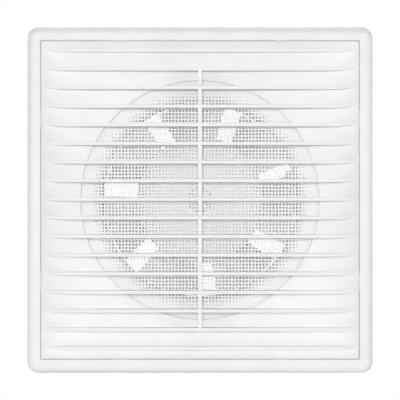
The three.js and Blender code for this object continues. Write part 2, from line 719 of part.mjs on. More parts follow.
// One slat: its front edge ramps up from the dish at both ends and is slightly crowned between them.
// It widens toward its rear, as a moulded rib does.
function slat(z) {
  const end = GRILLE_HALF - SLAT_END_GAP;
  const flush = DISH_THICK / 4 - FACE_DEPTH;
  const front = -FACE_DEPTH - SLAT_PROUD;
  const rear = SLAT_REAR + CUT;
  const shape = new THREE.Shape();
  shape.moveTo(-end, rear);
  shape.lineTo(-end, flush);
  shape.lineTo(SLAT_RAMP - end, front);
  shape.quadraticCurveTo(0, front - 2 * SLAT_CROWN, end - SLAT_RAMP, front);
  shape.lineTo(end, flush);
  shape.lineTo(end, rear);
  shape.closePath();
  const geometry = new THREE.ExtrudeGeometry(shape, {
    depth: SLAT_THICK,
    bevelEnabled: false,
    curveSegments: 3,
  });
  geometry.translate(0, 0, -SLAT_THICK / 2);
  const points = geometry.attributes.position;
  for (let i = 0; i < points.count; i++) {
    const widened = SLAT_DRAFT * (points.getY(i) - front);
    points.setZ(i, z + points.getZ(i) + Math.sign(points.getZ(i)) * widened);
  }
  return solidOf(geometry);
}

function frontGrille() {
  const bars = [];
  for (let i = -SLATS_EACH_WAY; i <= SLATS_EACH_WAY; i++) {
    bars.push(slat(i * SLAT_PITCH));
  }
  const ribReach = (SLATS_EACH_WAY - 1) * SLAT_PITCH;
  const ribFront = RIB_SETBACK - FACE_DEPTH - SLAT_PROUD;
  bars.push(box([-RIB_THICK / 2, RIB_THICK / 2], [ribFront, SLAT_REAR + CUT], [-ribReach, ribReach]));
  const space = slatSpace();
  const legs = legPlaces.map(([x, z]) => box(
    [x - LEG_WIDTH / 2, x + LEG_WIDTH / 2],
    [-FACE_DEPTH, -PLATE - LEG_END_GAP],
    [z - LEG_THICK / 2, z + LEG_THICK / 2]));
  return joined(dishShell(), joined(...bars).intersect(space), without(joined(...legs), space));
}

// ---------- insect screen ----------

// A flat net welded in one piece: a disc with square gaps wherever a whole gap fits inside its rim.
function insectScreen() {
  const half = (MESH_PITCH - MESH_STRAND) / 2;
  const reach = Math.ceil(SCREEN_R / MESH_PITCH);
  const through = [SCREEN_FRONT - CUT, SCREEN_REAR + CUT];
  const gaps = [];
  for (let i = -reach; i <= reach; i++) {
    for (let j = -reach; j <= reach; j++) {
      const x = i * MESH_PITCH;
      const z = j * MESH_PITCH;
      if (Math.hypot(Math.abs(x) + half, Math.abs(z) + half) < SCREEN_R - SCREEN_RIM) {
        gaps.push(box([x - half, x + half], through, [z - half, z + half]));
      }
    }
  }
  console.log(`insect screen: ${gaps.length} gaps, ${(2 * half).toFixed(1)} mm from strand to strand`);
  return without(rod(SCREEN_R, [SCREEN_FRONT, SCREEN_REAR], 0, 0, ROUND), ...gaps);
}

// ---------- impeller ----------

// The hub's dome from its front recess to its skirt, as a quarter ellipse in steps, inset by a wall.
function domeProfile(inset, steps) {
  const start = NUT_RECESS_R + NUT_RECESS_FLARE + inset;
  const points = [];
  for (let i = 0; i <= steps; i++) {
    const turn = ((i / steps) * Math.PI) / 2;
    const radius = start + (HUB_R - inset - start) * Math.sin(turn);
    points.push([radius, inset - HUB_FRONT + HUB_DOME * (1 - Math.cos(turn))]);
  }
  return points;
}

function hub() {
  const recessFloor = NUT_RECESS_DEPTH - HUB_FRONT;
  const bore = SHAFT_R + FIT;
  return turned([
    [bore, -HUB_BOSS_REAR],
    [bore, recessFloor],
    [NUT_RECESS_R, recessFloor],
    ...domeProfile(0, HUB_DOME_STEPS),
    [HUB_R, HUB_REAR],
    [HUB_R - HUB_WALL, HUB_REAR],
    ...domeProfile(HUB_WALL, HUB_DOME_STEPS / 2).reverse(),
    [NUT_RECESS_R + NUT_RECESS_FLARE + HUB_WALL, recessFloor + HUB_WALL],
    [HUB_BOSS_R, recessFloor + HUB_WALL],
    [HUB_BOSS_R, -HUB_BOSS_REAR],
  ], HUB_ROUND);
}

// A blade's section at a share of the way from root to tip: a cambered ellipse wrapped on a cylinder.
function bladeSection(share) {
  const radius = THREE.MathUtils.lerp(HUB_R - HUB_WALL / 2, TIP_R, share);
  const span = radians(THREE.MathUtils.lerp(BLADE_SPAN_ROOT, BLADE_SPAN_TIP, share));
  const thick = THREE.MathUtils.lerp(BLADE_THICK_ROOT, BLADE_THICK_TIP, share);
  const chord = new THREE.Vector2(span * radius, BLADE_FRONT + BLADE_REAR);
  const normal = new THREE.Vector2(-chord.y, chord.x).normalize();
  const points = [];
  for (let i = 0; i < 2 * BLADE_STEPS; i++) {
    const turn = (i * Math.PI) / BLADE_STEPS;
    const along = (1 - Math.cos(turn)) / 2;
    const offset = (thick / 2) * Math.sin(turn);
    const arc = chord.x * along + normal.x * offset;
    const y = chord.y * along - BLADE_CAMBER * Math.sin(Math.PI * along) + normal.y * offset - BLADE_FRONT;
    const angle = radians(BLADE_START) + arc / radius;
    points.push(new THREE.Vector3(radius * Math.cos(angle), y, radius * Math.sin(angle)));
  }
  return points;
}

function blade(degrees) {
  const sections = [];
  for (let i = 0; i < BLADE_SECTIONS; i++) {
    const section = bladeSection(i / (BLADE_SECTIONS - 1));
    section.forEach((point) => point.applyAxisAngle(new THREE.Vector3(0, 1, 0), -radians(degrees)));
    sections.push(section);
  }
  return skinned(sections, true);
}

const impeller = () => joined(hub(), ...around(BLADES).map(blade));

const impellerNut = () =>
  without(rod(NUT_R, [0, NUT_HEIGHT], 0, 0, NUT_SIDES), rod(SHAFT_R + FIT, [-CUT, NUT_HEIGHT + CUT]));

// ---------- motor ----------

const poleAngles = around(POLES);
const postAngles = around(POLES, 180 / POLES);
const screwedPosts = postAngles.filter((_, i) => i % 2 === 0);
const plateInner = CUP_FLOOR + BRACKET_THICK;
const bossInner = plateInner + BUSH_BOSS_LENGTH;
const shaftRear = MOTOR_REAR - SHAFT_REAR_GAP;

function postHoles(y) {
  return postAngles.map((angle) => {
    const { x, z } = polar(POST_RING_R, angle);
    return rod(SCREW_HOLE_R, y, x, z);
  });
}

// A motor bracket with its outer face at y = 0 and its posts and bush boss toward +Y.
function bracket() {
  let body = rod(MOTOR_R, [0, BRACKET_THICK], 0, 0, MOTOR_ROUND);
  body = body.add(rod(BUSH_BOSS_R, [0, BRACKET_THICK + BUSH_BOSS_LENGTH]));
  for (const angle of postAngles) {
    const { x, z } = polar(POST_RING_R, angle);
    body = body.add(rod(POST_R, [0, BRACKET_THICK + POST_LENGTH], x, z));
  }
  const windows = poleAngles.map((angle) => {
    const { x, z } = polar(BRACKET_WINDOW_RING_R, angle);
    return rod(BRACKET_WINDOW_R, [-CUT, BRACKET_THICK + CUT], x, z);
  });
  const bore = rod(BUSH_R + FIT, [-CUT, BRACKET_THICK + BUSH_BOSS_LENGTH + CUT]);
  return without(body, bore, ...windows, ...postHoles([-CUT, BRACKET_THICK + POST_LENGTH + CUT]));
}

const bush = () => tube(BUSH_R, SHAFT_R + FIT, [0, BRACKET_THICK + BUSH_BOSS_LENGTH], SMALL_ROUND);

// The laminated stack, from y = 0 to its thickness: a yoke with inward poles and their shoes.
function stator() {
  let body = tube(MOTOR_R, YOKE_INNER_R, [0, STACK], MOTOR_ROUND);
  const neckReach = [STATOR_BORE_R + POLE_SHOE / 2, YOKE_INNER_R + YOKE_WIDTH / 2];
  for (const angle of poleAngles) {
    const neck = spoke(neckReach, [0, STACK], POLE_NECK, angle);
    const shoe = sector(STATOR_BORE_R, STATOR_BORE_R + POLE_SHOE, POLE_SHOE_SPAN, [0, STACK], angle);
    body = joined(body, neck, shoe);
  }
  return without(body, ...postHoles([-CUT, STACK + CUT]));
}

// A coil on a pole that points along +X, centred on y = 0.
function coil() {
  const innerWidth = POLE_NECK / 2 + FIT;
  const innerHeight = STACK / 2 + FIT;
  const outer = roundedRectangle(innerWidth + COIL_THICK, STACK / 2 + COIL_OVERHANG, COIL_CORNER);
  const hole = roundedRectangle(innerWidth, innerHeight, COIL_HOLE_CORNER);
  const geometry = frame(outer, hole, COIL_OUTER_R - COIL_INNER_R);
  geometry.rotateY(Math.PI / 2);
  geometry.translate(COIL_INNER_R, 0, 0);
  return solidOf(geometry);
}

// The rotor's core and end rings, centred on y = 0.
function rotorCore() {
  const bore = SHAFT_R + FIT;
  const half = STACK / 2;
  const ringR = ROTOR_R - END_RING;
  return turned([
    [bore, -half - END_RING],
    [ringR, -half - END_RING],
    [ringR, -half],
    [ROTOR_R, -half],
    [ROTOR_R, half],
    [ringR, half],
    [ringR, half + END_RING],
    [bore, half + END_RING],
  ], MOTOR_ROUND / 2);
}

const washerThick = STACK_FRONT - END_RING - bossInner - 2 * FIT;
const thrustWasher = () => tube(WASHER_R, SHAFT_R + FIT, [0, washerThick], SMALL_ROUND);

// ---------- wiring ----------

const blockMiddle = (BLOCK_FRONT + BLOCK_REAR) / 2;
const terminalPlaces = signs.flatMap((x) => signs.map((z) => [
  WIRING_X + (x * TERMINAL_PITCH) / 2,
  BLOCK_Z + z * TERMINAL_OFFSET,
]));

function terminalBlock() {
  const ends = [BLOCK_Z - BLOCK_LENGTH / 2, BLOCK_Z + BLOCK_LENGTH / 2];
  const body = box([WIRING_X - BLOCK_WIDTH / 2, WIRING_X + BLOCK_WIDTH / 2], [BLOCK_FRONT, BLOCK_REAR], ends);
  const holes = signs.map((side) => uprightRod(
    WIRE_HOLE_R, WIRING_X + (side * TERMINAL_PITCH) / 2, blockMiddle, [ends[0] - CUT, ends[1] + CUT]));
  for (const [x, z] of terminalPlaces) {
    holes.push(rod(TERMINAL_SCREW_R + FIT, [BLOCK_FRONT - CUT, blockMiddle], x, z));
  }
  holes.push(rod(SCREW_HOLE_R, [BLOCK_FRONT - CUT, BLOCK_REAR + CUT], WIRING_X, BLOCK_Z));
  holes.push(rod(SCREW_HEAD_R + FIT, [BLOCK_FRONT - CUT, BLOCK_FRONT + BLOCK_SINK], WIRING_X, BLOCK_Z));
  return without(body, ...holes);
}

// A terminal's headless screw, with its slotted face at y = 0.
function terminalScrew() {
  const reach = TERMINAL_SCREW_R + CUT;
  const slot = box([-reach, reach], [-CUT, TERMINAL_SLOT], [-SCREW_SLOT / 2, SCREW_SLOT / 2]);
  return without(rod(TERMINAL_SCREW_R, [0, TERMINAL_SCREW_LENGTH]), slot);
}

function cableClamp() {
  const half = CLAMP_SPACING / 2 + SCREW_HEAD_R + CUT;
  const depth = [CLAMP_REAR - CLAMP_THICK, CLAMP_REAR];
  const across = [CLAMP_Z - CLAMP_WIDTH / 2, CLAMP_Z + CLAMP_WIDTH / 2];
  const body = box([WIRING_X - half, WIRING_X + half], depth, across);
  const groove = uprightRod(CLAMP_GROOVE_R, WIRING_X, CLAMP_REAR - CLAMP_ARCH + CLAMP_GROOVE_R,
    [across[0] - CUT, across[1] + CUT]);
  const holes = signs.map((side) => rod(
    SCREW_HOLE_R, [depth[0] - CUT, depth[1] + CUT], WIRING_X + (side * CLAMP_SPACING) / 2, CLAMP_Z));
  return without(body, groove, ...holes);
}

// The rubber grommet, centred on the duct axis.
function cableGrommet() {
  return turned([
    [GROMMET_BORE_R, -PLATE - GROMMET_FLANGE],
    [GROMMET_FLANGE_R - GROMMET_CHAMFER, -PLATE - GROMMET_FLANGE],
    [GROMMET_FLANGE_R, GROMMET_CHAMFER - PLATE - GROMMET_FLANGE],
    [GROMMET_FLANGE_R, -PLATE],
    [GROMMET_R, -PLATE],
    [GROMMET_R, 0],
    [GROMMET_BORE_R, 0],
  ], SMALL_ROUND);
}

// The motor's sleeved lead: out of the cup, along an arm, forward between shroud and duct, and across
// the tray to the terminal block.
function motorLead() {
  const turn = -radians(armAngles[LEAD_ARM]);
  const axis = new THREE.Vector3(0, 1, 0);
  const byArm = (radius, y, side) => new THREE.Vector3(radius, y, -side).applyAxisAngle(axis, turn);
  const onArm = armRear + FIT + LEAD_R;
  const front = -LEAD_HOLE_FRONT;
  const blockEnd = BLOCK_Z - BLOCK_LENGTH / 2 - FIT;
  const poleX = WIRING_X + TERMINAL_PITCH / 2;
  const route = new THREE.CatmullRomCurve3([
    byArm(MOTOR_R - 3, leadRear, 0),
    byArm(CUP_R + 1.3, leadRear, 0),
    byArm(CUP_R + 6.8, onArm + 0.3, 0),
    byArm(armEnd - 7.4, onArm, 0.6),
    byArm(armEnd - 0.4, onArm - 1, 4),
    byArm(CAVITY_R - 0.3, SHROUD_REAR + 6.5, LEAD_SIDE - 0.4),
    byArm(CAVITY_R, SHROUD_REAR - 2, LEAD_SIDE),
    byArm(CAVITY_R, front + 10, LEAD_SIDE),
    byArm(CAVITY_R + 0.3, front + 3.6, LEAD_SIDE),
    byArm(DUCT_R - 3, front + 0.2, LEAD_SIDE),
    byArm(DUCT_R + 0.6, front, LEAD_SIDE),
    byArm(DUCT_R + 4, front, LEAD_SIDE),
    new THREE.Vector3(WIRING_X + 35.5, front - 0.5, 17.7 - WELL_HALF),
    new THREE.Vector3(WIRING_X + 24.5, front - 1, 16.2 - WELL_HALF),
    new THREE.Vector3(WIRING_X + 15.5, front - 1.5, blockEnd - 4.3),
    new THREE.Vector3(WIRING_X + 8, blockMiddle, blockEnd - 6.3),
    new THREE.Vector3(poleX, blockMiddle, blockEnd - 3),
    new THREE.Vector3(poleX, blockMiddle, blockEnd),
  ], false, 'centripetal');
  const section = new THREE.Shape();
  section.absarc(0, 0, LEAD_R, 0, 2 * Math.PI);
  const geometry = new THREE.ExtrudeGeometry(section, {
    steps: CORD_STEPS,
    extrudePath: route,
    curveSegments: CORD_ROUND / 2,
  });
  return solidOf(geometry);
}

// ---------- colours ----------

const WHITE_PLASTIC = { color: 0xf3f3f1, roughness: 0.4, metalness: 0 };
const INNER_PLASTIC = { color: 0xe9e9e7, roughness: 0.5, metalness: 0 };
const SCREEN_WHITE = { color: 0xf7f7f5, roughness: 0.6, metalness: 0 };
const ZINC = { color: 0xc4c6c8, roughness: 0.35, metalness: 1 };
const STEEL = { color: 0x9a9c9e, roughness: 0.3, metalness: 1 };
const LAMINATION = { color: 0x5d5f62, roughness: 0.55, metalness: 0.8 };
const CAST_ALUMINIUM = { color: 0xb5b7b9, roughness: 0.5, metalness: 0.9 };
const BRONZE = { color: 0x9c7a45, roughness: 0.45, metalness: 0.9 };
const COPPER = { color: 0xb5652f, roughness: 0.4, metalness: 0.9 };
const BRASS = { color: 0xc2a14d, roughness: 0.35, metalness: 1 };
const FIBRE = { color: 0x6b4a2f, roughness: 0.8, metalness: 0 };
const RUBBER = { color: 0x202022, roughness: 0.85, metalness: 0 };
const SLEEVE = { color: 0xd8d8d4, roughness: 0.7, metalness: 0 };

// ---------- assembly ----------

const fan = new THREE.Group();
const body = new THREE.Group();
const motor = new THREE.Group();
const rotor = new THREE.Group();
const wiring = new THREE.Group();
const cover = new THREE.Group();
fan.add(body, motor, rotor, wiring, cover);

// Adds a piece to a group. A piece made about its own origin is then placed and turned.
function add(group, name, solid, look, place = new THREE.Vector3(), turn = [0, 0, 0]) {
  const mesh = new THREE.Mesh(geometryOf(solid), new THREE.MeshStandardMaterial(look));
  mesh.name = name;
  mesh.position.copy(place);
  mesh.rotation.set(...turn);
  group.add(mesh);
}

const facingRear = [Math.PI, 0, 0];
const onAxis = (y) => new THREE.Vector3(0, y, 0);

add(body, 'housing', housing(), WHITE_PLASTIC);
add(body, 'motor_carrier', motorCarrier(), INNER_PLASTIC);
add(body, 'motor_cover', motorCover(), INNER_PLASTIC);
add(body, 'insect_screen', insectScreen(), SCREEN_WHITE);
armAngles.forEach((angle, i) => {
  const place = polar(CAVITY_R, angle, SHROUD_REAR + FOOT_THICK);
  add(body, `carrier_screw_${i + 1}`, panScrew(SCREW_LENGTH), ZINC, place, facingRear);
});
coverAngles.forEach((angle, i) => {
  const place = polar(CUP_R, angle, CUP_DEPTH + COVER_THICK);
  add(body, `cover_screw_${i + 1}`, panScrew(SCREW_LENGTH), ZINC, place, facingRear);
});

add(motor, 'front_bracket', bracket(), CAST_ALUMINIUM, onAxis(CUP_FLOOR));
add(motor, 'rear_bracket', bracket(), CAST_ALUMINIUM, onAxis(MOTOR_REAR), facingRear);
add(motor, 'front_bush', bush(), BRONZE, onAxis(CUP_FLOOR));
add(motor, 'rear_bush', bush(), BRONZE, onAxis(MOTOR_REAR), facingRear);
add(motor, 'stator', stator(), LAMINATION, onAxis(STACK_FRONT));
poleAngles.forEach((angle, i) => {
  add(motor, `coil_${i + 1}`, coil(), COPPER, onAxis(STACK_FRONT + STACK / 2), [0, -radians(angle), 0]);
});
screwedPosts.forEach((angle, i) => {
  const length = BRACKET_THICK + 2 * POST_LENGTH + STACK;
  const place = polar(POST_RING_R, angle, MOTOR_REAR);
  add(motor, `motor_screw_${i + 1}`, panScrew(length), ZINC, place, facingRear);
});

add(rotor, 'shaft', rod(SHAFT_R, [-SHAFT_FRONT, shaftRear]), STEEL);
add(rotor, 'rotor_core', rotorCore(), LAMINATION, onAxis(STACK_FRONT + STACK / 2));
add(rotor, 'front_washer', thrustWasher(), FIBRE, onAxis(bossInner + FIT));
add(rotor, 'rear_washer', thrustWasher(), FIBRE, onAxis(STACK_REAR + END_RING + FIT));
add(rotor, 'impeller', impeller(), INNER_PLASTIC);
add(rotor, 'impeller_nut', impellerNut(), ZINC, onAxis(NUT_RECESS_DEPTH - HUB_FRONT - NUT_HEIGHT));

add(wiring, 'terminal_block', terminalBlock(), INNER_PLASTIC);
terminalPlaces.forEach(([x, z], i) => {
  const place = new THREE.Vector3(x, BLOCK_FRONT + TERMINAL_SINK, z);
  add(wiring, `terminal_screw_${i + 1}`, terminalScrew(), BRASS, place);
});
add(wiring, 'terminal_block_screw', panScrew(BLOCK_HEIGHT - BLOCK_SINK + BLOCK_GRIP), ZINC,
  new THREE.Vector3(WIRING_X, BLOCK_FRONT + BLOCK_SINK, BLOCK_Z));
add(wiring, 'cable_clamp', cableClamp(), INNER_PLASTIC);
signs.forEach((side, i) => {
  const place = new THREE.Vector3(WIRING_X + (side * CLAMP_SPACING) / 2, CLAMP_REAR - CLAMP_THICK, CLAMP_Z);
  add(wiring, `clamp_screw_${i + 1}`, panScrew(CLAMP_THICK + CLAMP_GRIP), ZINC, place);
});
add(wiring, 'cable_grommet', cableGrommet(), RUBBER, new THREE.Vector3(WIRING_X, 0, GROMMET_Z));
add(wiring, 'motor_lead', motorLead(), SLEEVE);

add(cover, 'front_grille', frontGrille(), WHITE_PLASTIC);

export default fan;
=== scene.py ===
# %% [markdown]
# This notebook dresses the CAD model of a window exhaust fan: a square white face with a dished, slatted
# grille, an insect net, an impeller and a round duct behind. The pieces that are made here stand in the
# same frame, so each one is already where its solid is.

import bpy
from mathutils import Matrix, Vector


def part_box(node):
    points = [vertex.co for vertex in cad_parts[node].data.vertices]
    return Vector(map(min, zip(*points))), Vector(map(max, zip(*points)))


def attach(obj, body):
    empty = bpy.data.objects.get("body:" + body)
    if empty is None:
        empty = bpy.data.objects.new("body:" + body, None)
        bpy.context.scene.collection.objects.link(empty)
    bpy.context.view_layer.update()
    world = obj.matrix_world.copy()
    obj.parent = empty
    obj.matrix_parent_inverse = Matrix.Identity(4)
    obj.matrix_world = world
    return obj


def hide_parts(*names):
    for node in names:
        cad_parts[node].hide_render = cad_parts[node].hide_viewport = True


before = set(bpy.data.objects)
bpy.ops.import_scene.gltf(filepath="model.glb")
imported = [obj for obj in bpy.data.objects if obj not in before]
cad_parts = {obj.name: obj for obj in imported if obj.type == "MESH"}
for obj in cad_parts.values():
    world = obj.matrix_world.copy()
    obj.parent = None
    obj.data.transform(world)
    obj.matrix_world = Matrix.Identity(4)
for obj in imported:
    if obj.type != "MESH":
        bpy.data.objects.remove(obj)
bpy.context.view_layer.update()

# %% Modules, units and the main sizes
import math
import random

import bmesh
import bpy
from mathutils import Matrix, Vector

MM = 0.001
scene = bpy.context.scene
grille_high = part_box("front_grille")[1]
housing_low, housing_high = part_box("housing")
screen_low, screen_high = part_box("insect_screen")
face_width = housing_high[0] - housing_low[0]
face_front = housing_low[1]
grille_half = grille_high[0]
print("face", round(face_width, 4), "m wide, its front at y =", round(face_front, 4))

# %% [markdown]
# The photograph looks straight at the face. The camera stands 1.4 m in front of it, and a long lens at that
# distance keeps the square nearly free of perspective. The lens follows from the share of the picture's width
# that the face fills, so the render and the photograph have the same scale.

# %% The camera
PICTURE = 400
FACE_PIXELS = 346
CAMERA_DISTANCE = 1.4
SENSOR = 36
seen_width = face_width * PICTURE / FACE_PIXELS
camera_data = bpy.data.cameras.new("camera")
camera_data.sensor_width = SENSOR
camera_data.lens = SENSOR * CAMERA_DISTANCE / seen_width
camera_data.clip_start = 0.05
camera_data.clip_end = 20
camera = bpy.data.objects.new("camera", camera_data)
scene.collection.objects.link(camera)
camera.location = (0, face_front - CAMERA_DISTANCE, 0)
camera.rotation_euler = (math.pi / 2, 0, 0)
scene.camera = camera
print("lens", round(camera_data.lens, 1), "mm")

# %% [markdown]
# A plain pale floor lies well below the fan, out of the camera's sight but there for the views from above.
# The world is white for rays that come from the camera, from gloss and through glass, and nearly dark for the
# light that it gives, so the white plastic keeps its shading against the white background.

# %% The floor
FLOOR_DROP = 0.11
FLOOR_HALF = 0.75
FLOOR_GREY = 0.78
FLOOR_ROUGHNESS = 0.8
floor_height = housing_low[2] - FLOOR_DROP


def floor_material():
    material = bpy.data.materials.new("floor")
    material.use_nodes = True
    shader = material.node_tree.nodes["Principled BSDF"]
    shader.inputs["Base Color"].default_value = (FLOOR_GREY, FLOOR_GREY, FLOOR_GREY, 1)
    shader.inputs["Roughness"].default_value = FLOOR_ROUGHNESS
    return material


floor_mesh = bmesh.new()
bmesh.ops.create_grid(floor_mesh, x_segments=1, y_segments=1, size=FLOOR_HALF)
bmesh.ops.translate(floor_mesh, verts=floor_mesh.verts, vec=(0, 0, floor_height))
floor_data = bpy.data.meshes.new("floor")
floor_mesh.to_mesh(floor_data)
floor_mesh.free()
floor = bpy.data.objects.new("floor", floor_data)
floor_data.materials.append(floor_material())
scene.collection.objects.link(floor)
print("floor at z =", round(floor_height, 3))

# %% The world
WORLD_LIGHT = 0.02
WORLD_COLOUR = (0.96, 0.98, 1, 1)
world = bpy.data.worlds.new("studio")
scene.world = world
world.use_nodes = True
world_nodes = world.node_tree.nodes
world_links = world.node_tree.links
world_nodes.clear()
light_path = world_nodes.new("ShaderNodeLightPath")
seen = world_nodes.new("ShaderNodeMath")
seen.operation = "MAXIMUM"
world_links.new(light_path.outputs["Is Camera Ray"], seen.inputs[0])
world_links.new(light_path.outputs["Is Glossy Ray"], seen.inputs[1])
seen_through = world_nodes.new("ShaderNodeMath")
seen_through.operation = "MAXIMUM"
world_links.new(seen.outputs[0], seen_through.inputs[0])
world_links.new(light_path.outputs["Is Transmission Ray"], seen_through.inputs[1])
backdrop = world_nodes.new("ShaderNodeBackground")
backdrop.inputs["Color"].default_value = (1, 1, 1, 1)
backdrop.inputs["Strength"].default_value = 1
room = world_nodes.new("ShaderNodeBackground")
room.inputs["Color"].default_value = WORLD_COLOUR
room.inputs["Strength"].default_value = WORLD_LIGHT
world_mix = world_nodes.new("ShaderNodeMixShader")
world_output = world_nodes.new("ShaderNodeOutputWorld")
world_links.new(seen_through.outputs[0], world_mix.inputs[0])
world_links.new(room.outputs[0], world_mix.inputs[1])
world_links.new(backdrop.outputs[0], world_mix.inputs[2])
world_links.new(world_mix.outputs[0], world_output.inputs[0])
scene.view_settings.view_transform = "Standard"
print("world light", WORLD_LIGHT)

# %% [markdown]
# The light in the photograph comes mostly from the front: the faces, the dish and even the hub behind the net
# are nearly equally pale. A fairly small lamp just behind and above the camera does that. What the camera
# sees through a hole of the net is then also what this lamp reaches, at least close behind the net, while
# deeper things, such as the blades, get the blurred shadow of the strands and turn grey. Two wide lamps at
# the sides brighten the dish, whose slopes face them, and a weak one higher up puts light on top of each
# slat. Three lamps behind the wall plane show the top, the duct and the motor without changing the face.

# %% The lamps
SMALL_LAMP = 0.3
WIDE_LAMP = 0.8


def area_lamp(name, place, size, power):
    lamp_data = bpy.data.lights.new(name, "AREA")
    lamp_data.shape = "SQUARE"
    lamp_data.size = size
    lamp_data.energy = power
    lamp = bpy.data.objects.new(name, lamp_data)
    scene.collection.objects.link(lamp)
    lamp.location = place
    lamp.rotation_euler = (-Vector(place)).to_track_quat("-Z", "Y").to_euler()
    print(name, power, "W")


area_lamp("front", (-0.04, -1.6, 0.08), SMALL_LAMP, 13)
area_lamp("above", (0, -1.3, 0.75), WIDE_LAMP, 1.5)
area_lamp("left", (-1.3, -0.9, 0), WIDE_LAMP, 4)
area_lamp("right", (1.3, -0.9, 0), WIDE_LAMP, 4.3)
area_lamp("rear_left", (-1.1, 1, 0.3), WIDE_LAMP, 7.5)
area_lamp("rear_right", (1.1, 1, 0.3), WIDE_LAMP, 7.5)
area_lamp("rear_above", (0, 0.6, 1.4), WIDE_LAMP, 11)

# %% [markdown]
# Moulded plastic is not one flat colour. Its gloss changes a little from place to place where the tool was
# polished more or less, it has a very fine skin texture, and its colour drifts by a trace. Three noise
# textures on Object coordinates give these, at sizes of centimetres, millimetres and tenths of millimetres.
# All of it is satin rather than shiny, so the small front lamp makes no bright spots on it.

# %% A moulded plastic
NOISE_LOW = 0.3
NOISE_HIGH = 0.7
RAMP_LOW = 0.35
RAMP_HIGH = 0.65
PLASTIC_DARKER = 0.975
PLASTIC_PATCHES = 45
PLASTIC_GLOSS = 300
PLASTIC_SKIN = 2600
PLASTIC_BUMP = 0.0001
PLASTIC_IOR = 1.5


def new_material(name):
    material = bpy.data.materials.new(name)
    material.use_nodes = True
    nodes = material.node_tree.nodes
    links = material.node_tree.links
    place = nodes.new("ShaderNodeTexCoord").outputs["Object"]
    return material, nodes, links, nodes["Principled BSDF"], place


def noise(nodes, links, place, scale, detail=3):
    texture = nodes.new("ShaderNodeTexNoise")
    texture.inputs["Scale"].default_value = scale
    texture.inputs["Detail"].default_value = detail
    links.new(place, texture.inputs["Vector"])
    return texture.outputs["Fac"]


def spread(nodes, links, value, low, high, socket):
    ranged = nodes.new("ShaderNodeMapRange")
    ranged.inputs["From Min"].default_value = NOISE_LOW
    ranged.inputs["From Max"].default_value = NOISE_HIGH
    ranged.inputs["To Min"].default_value = low
    ranged.inputs["To Max"].default_value = high
    links.new(value, ranged.inputs["Value"])
    links.new(ranged.outputs["Result"], socket)


def drift(nodes, links, value, first, second, socket):
    ramp = nodes.new("ShaderNodeValToRGB")
    ramp.color_ramp.elements[0].position = RAMP_LOW
    ramp.color_ramp.elements[0].color = (*first, 1)
    ramp.color_ramp.elements[1].position = RAMP_HIGH
    ramp.color_ramp.elements[1].color = (*second, 1)
    links.new(value, ramp.inputs["Fac"])
    links.new(ramp.outputs["Color"], socket)


def bump(nodes, links, height, strength, distance, shader):
    node = nodes.new("ShaderNodeBump")
    node.inputs["Strength"].default_value = strength
    node.inputs["Distance"].default_value = distance
    links.new(height, node.inputs["Height"])
    links.new(node.outputs["Normal"], shader.inputs["Normal"])


def plastic(name, colour, gloss=(0.52, 0.62), skin=0.06):
    material, nodes, links, shader, place = new_material(name)
    darker = tuple(channel * PLASTIC_DARKER for channel in colour)
    patches = noise(nodes, links, place, PLASTIC_PATCHES)
    drift(nodes, links, patches, darker, colour, shader.inputs["Base Color"])
    spread(nodes, links, noise(nodes, links, place, PLASTIC_GLOSS), *gloss, shader.inputs["Roughness"])
    bump(nodes, links, noise(nodes, links, place, PLASTIC_SKIN, detail=2), skin, PLASTIC_BUMP, shader)
    shader.inputs["IOR"].default_value = PLASTIC_IOR
    return material


WHITE = (0.9, 0.9, 0.9)
# The impeller and the net are white plastic, but their whites are set lighter than the face's as painted
# light, so the hub and the strands behind the slats look as pale as the face.
FAN_WHITE_PAINTED_LIGHT = (0.96, 0.96, 0.96)
NET_WHITE_PAINTED_LIGHT = (0.97, 0.97, 0.97)
INNER_GLOSS = (0.5, 0.62)
NET_GLOSS = (0.58, 0.68)
white_plastic = plastic("white_plastic", WHITE)
inner_plastic = plastic("inner_plastic", WHITE, INNER_GLOSS)
fan_plastic = plastic("fan_plastic", FAN_WHITE_PAINTED_LIGHT, INNER_GLOSS)
net_plastic = plastic("net_plastic", NET_WHITE_PAINTED_LIGHT, NET_GLOSS, skin=0.03)
print("materials so far:", len(bpy.data.materials))

# %% [markdown]
# Most metals are inside the fan. Only the nut on the hub and the shaft's end face the front, and the nut has
# a dull finish. Plated screws have a fine grain. The motor's laminations are stacked along the duct axis and
# show as hair-thin lines, and the windings lie in fine even turns. Wave textures along one axis draw those
# lines.

# %% Metals, rubber and fibre
METAL_DARKER = 0.8
METAL_PATCHES = 180
METAL_GLOSS = 700
METAL_GRAIN = 2500
METAL_BUMP = 0.0002
SOFT_LIGHTER = 1.3
SOFT_LIFT = 0.01
SOFT_PATCHES = 400
SOFT_GLOSS = 900
SOFT_GRAIN = 3000
SOFT_STRENGTH = 0.2
SOFT_BUMP = 0.0001


def lines(nodes, links, place, scale, direction):
    texture = nodes.new("ShaderNodeTexWave")
    texture.bands_direction = direction
    texture.inputs["Scale"].default_value = scale
    links.new(place, texture.inputs["Vector"])
    return texture.outputs["Fac"]


def metal(name, colour, gloss, direction=None, scale=0.0, depth=0.15):
    material, nodes, links, shader, place = new_material(name)
    darker = tuple(channel * METAL_DARKER for channel in colour)
    shader.inputs["Metallic"].default_value = 1
    patches = noise(nodes, links, place, METAL_PATCHES)
    drift(nodes, links, patches, darker, colour, shader.inputs["Base Color"])
    spread(nodes, links, noise(nodes, links, place, METAL_GLOSS), *gloss, shader.inputs["Roughness"])
    if direction:
        height = lines(nodes, links, place, scale, direction)
    else:
        height = noise(nodes, links, place, METAL_GRAIN)
    bump(nodes, links, height, depth, METAL_BUMP, shader)
    return material


